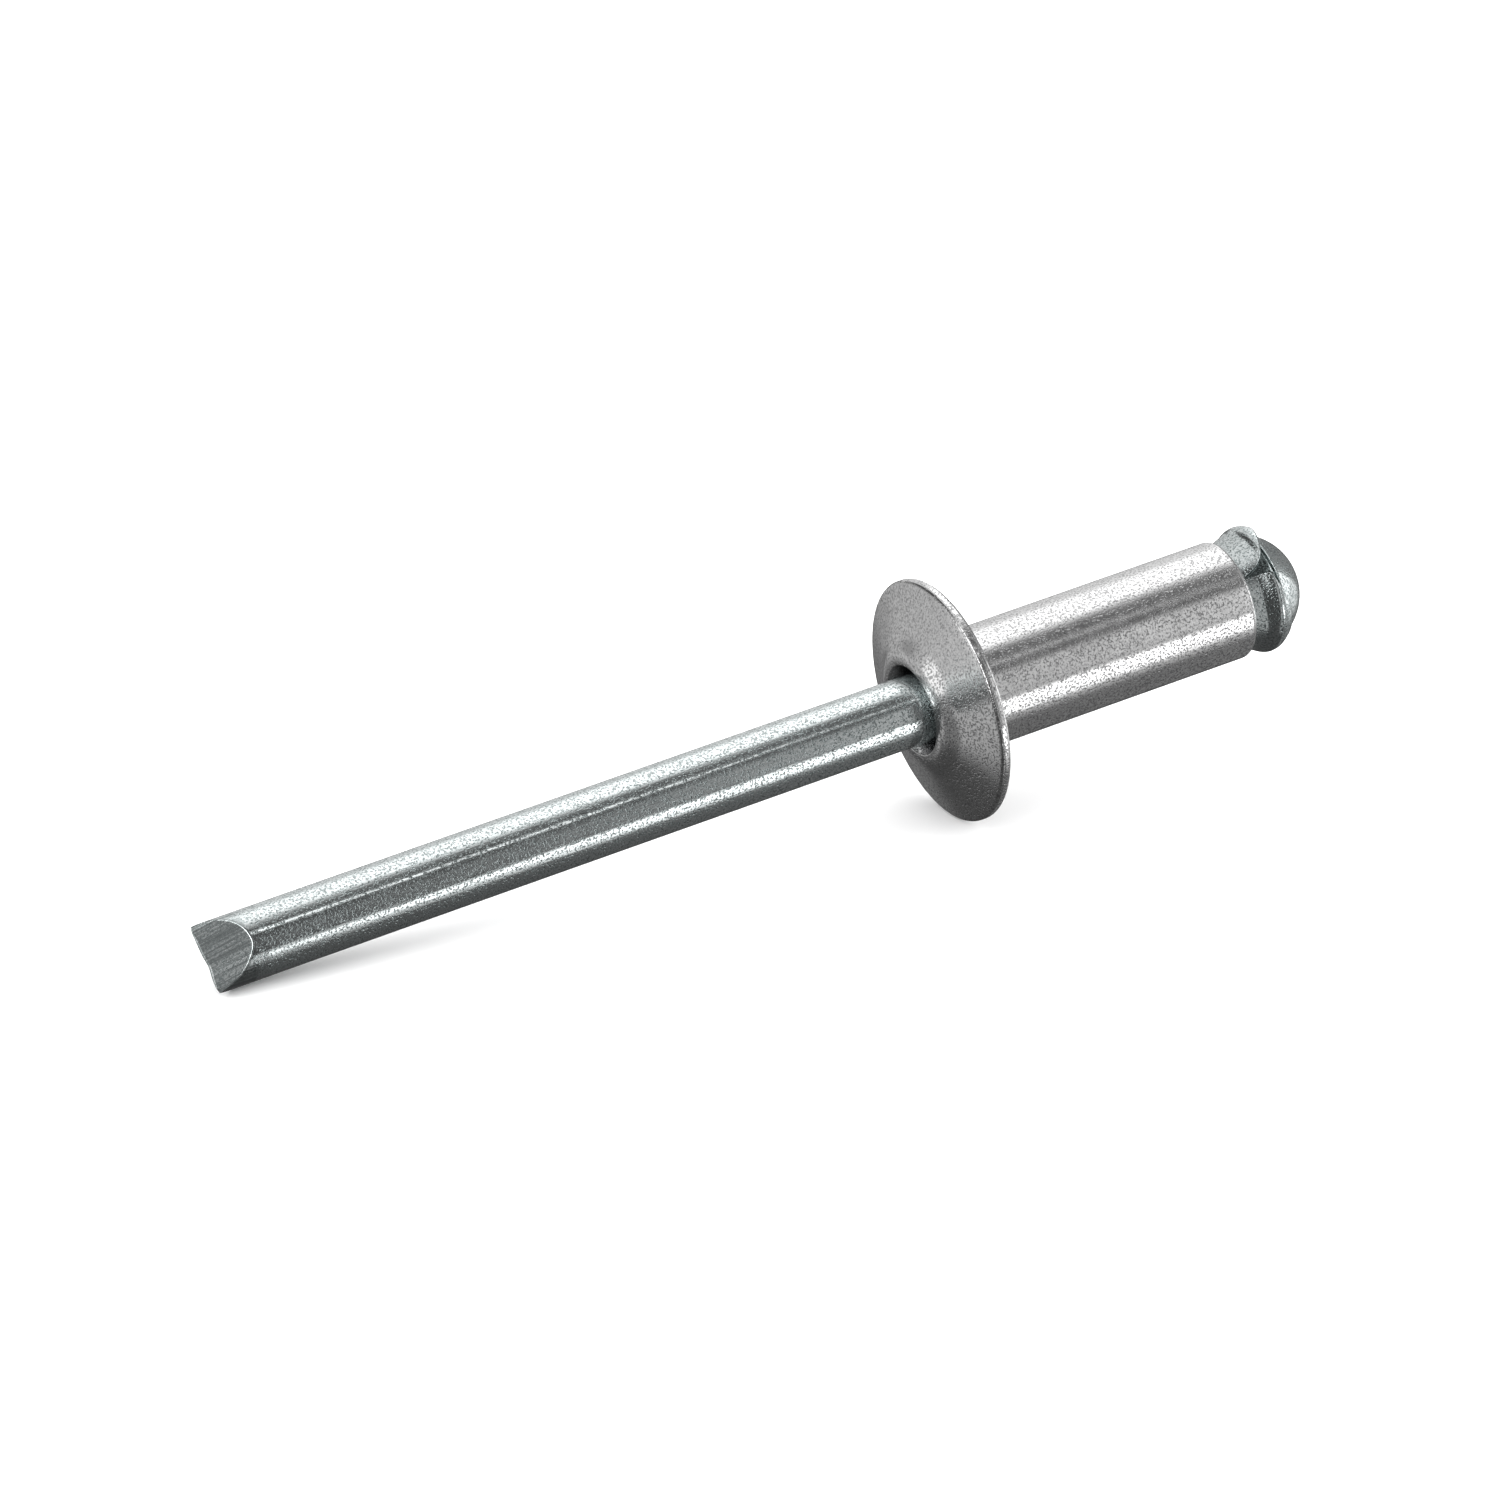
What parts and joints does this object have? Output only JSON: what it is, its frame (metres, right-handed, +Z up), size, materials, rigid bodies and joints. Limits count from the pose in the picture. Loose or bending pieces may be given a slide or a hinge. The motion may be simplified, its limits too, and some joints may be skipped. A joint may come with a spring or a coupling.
{
  "type": "pop rivet",
  "caption": "Open-end blind rivet: domed flange on a tubular aluminium sleeve, with a steel mandrel through it, ball head at one end and chisel point at the other.",
  "frame": {"origin": "on the rivet's axis, in the plane of the flange's seat", "axes": "+X along the lying rivet, towards the mandrel's head; +Z up from the surface it lies on. The rivet's own axis leans 6.469 degrees up from +X, as it rests on the flange's rim and the pulling end"},
  "size_m": [0.0403, 0.0082, 0.0082],
  "materials": {
    "aluminium": "tumbled satin, grainy, brighter on edges",
    "steel": "bright zinc plate on drawn wire, faint lengthwise lines"
  },
  "bodies": {
    "root": {"rivet_body": "aluminium", "mandrel": "steel"}
  },
  "joints": []
}
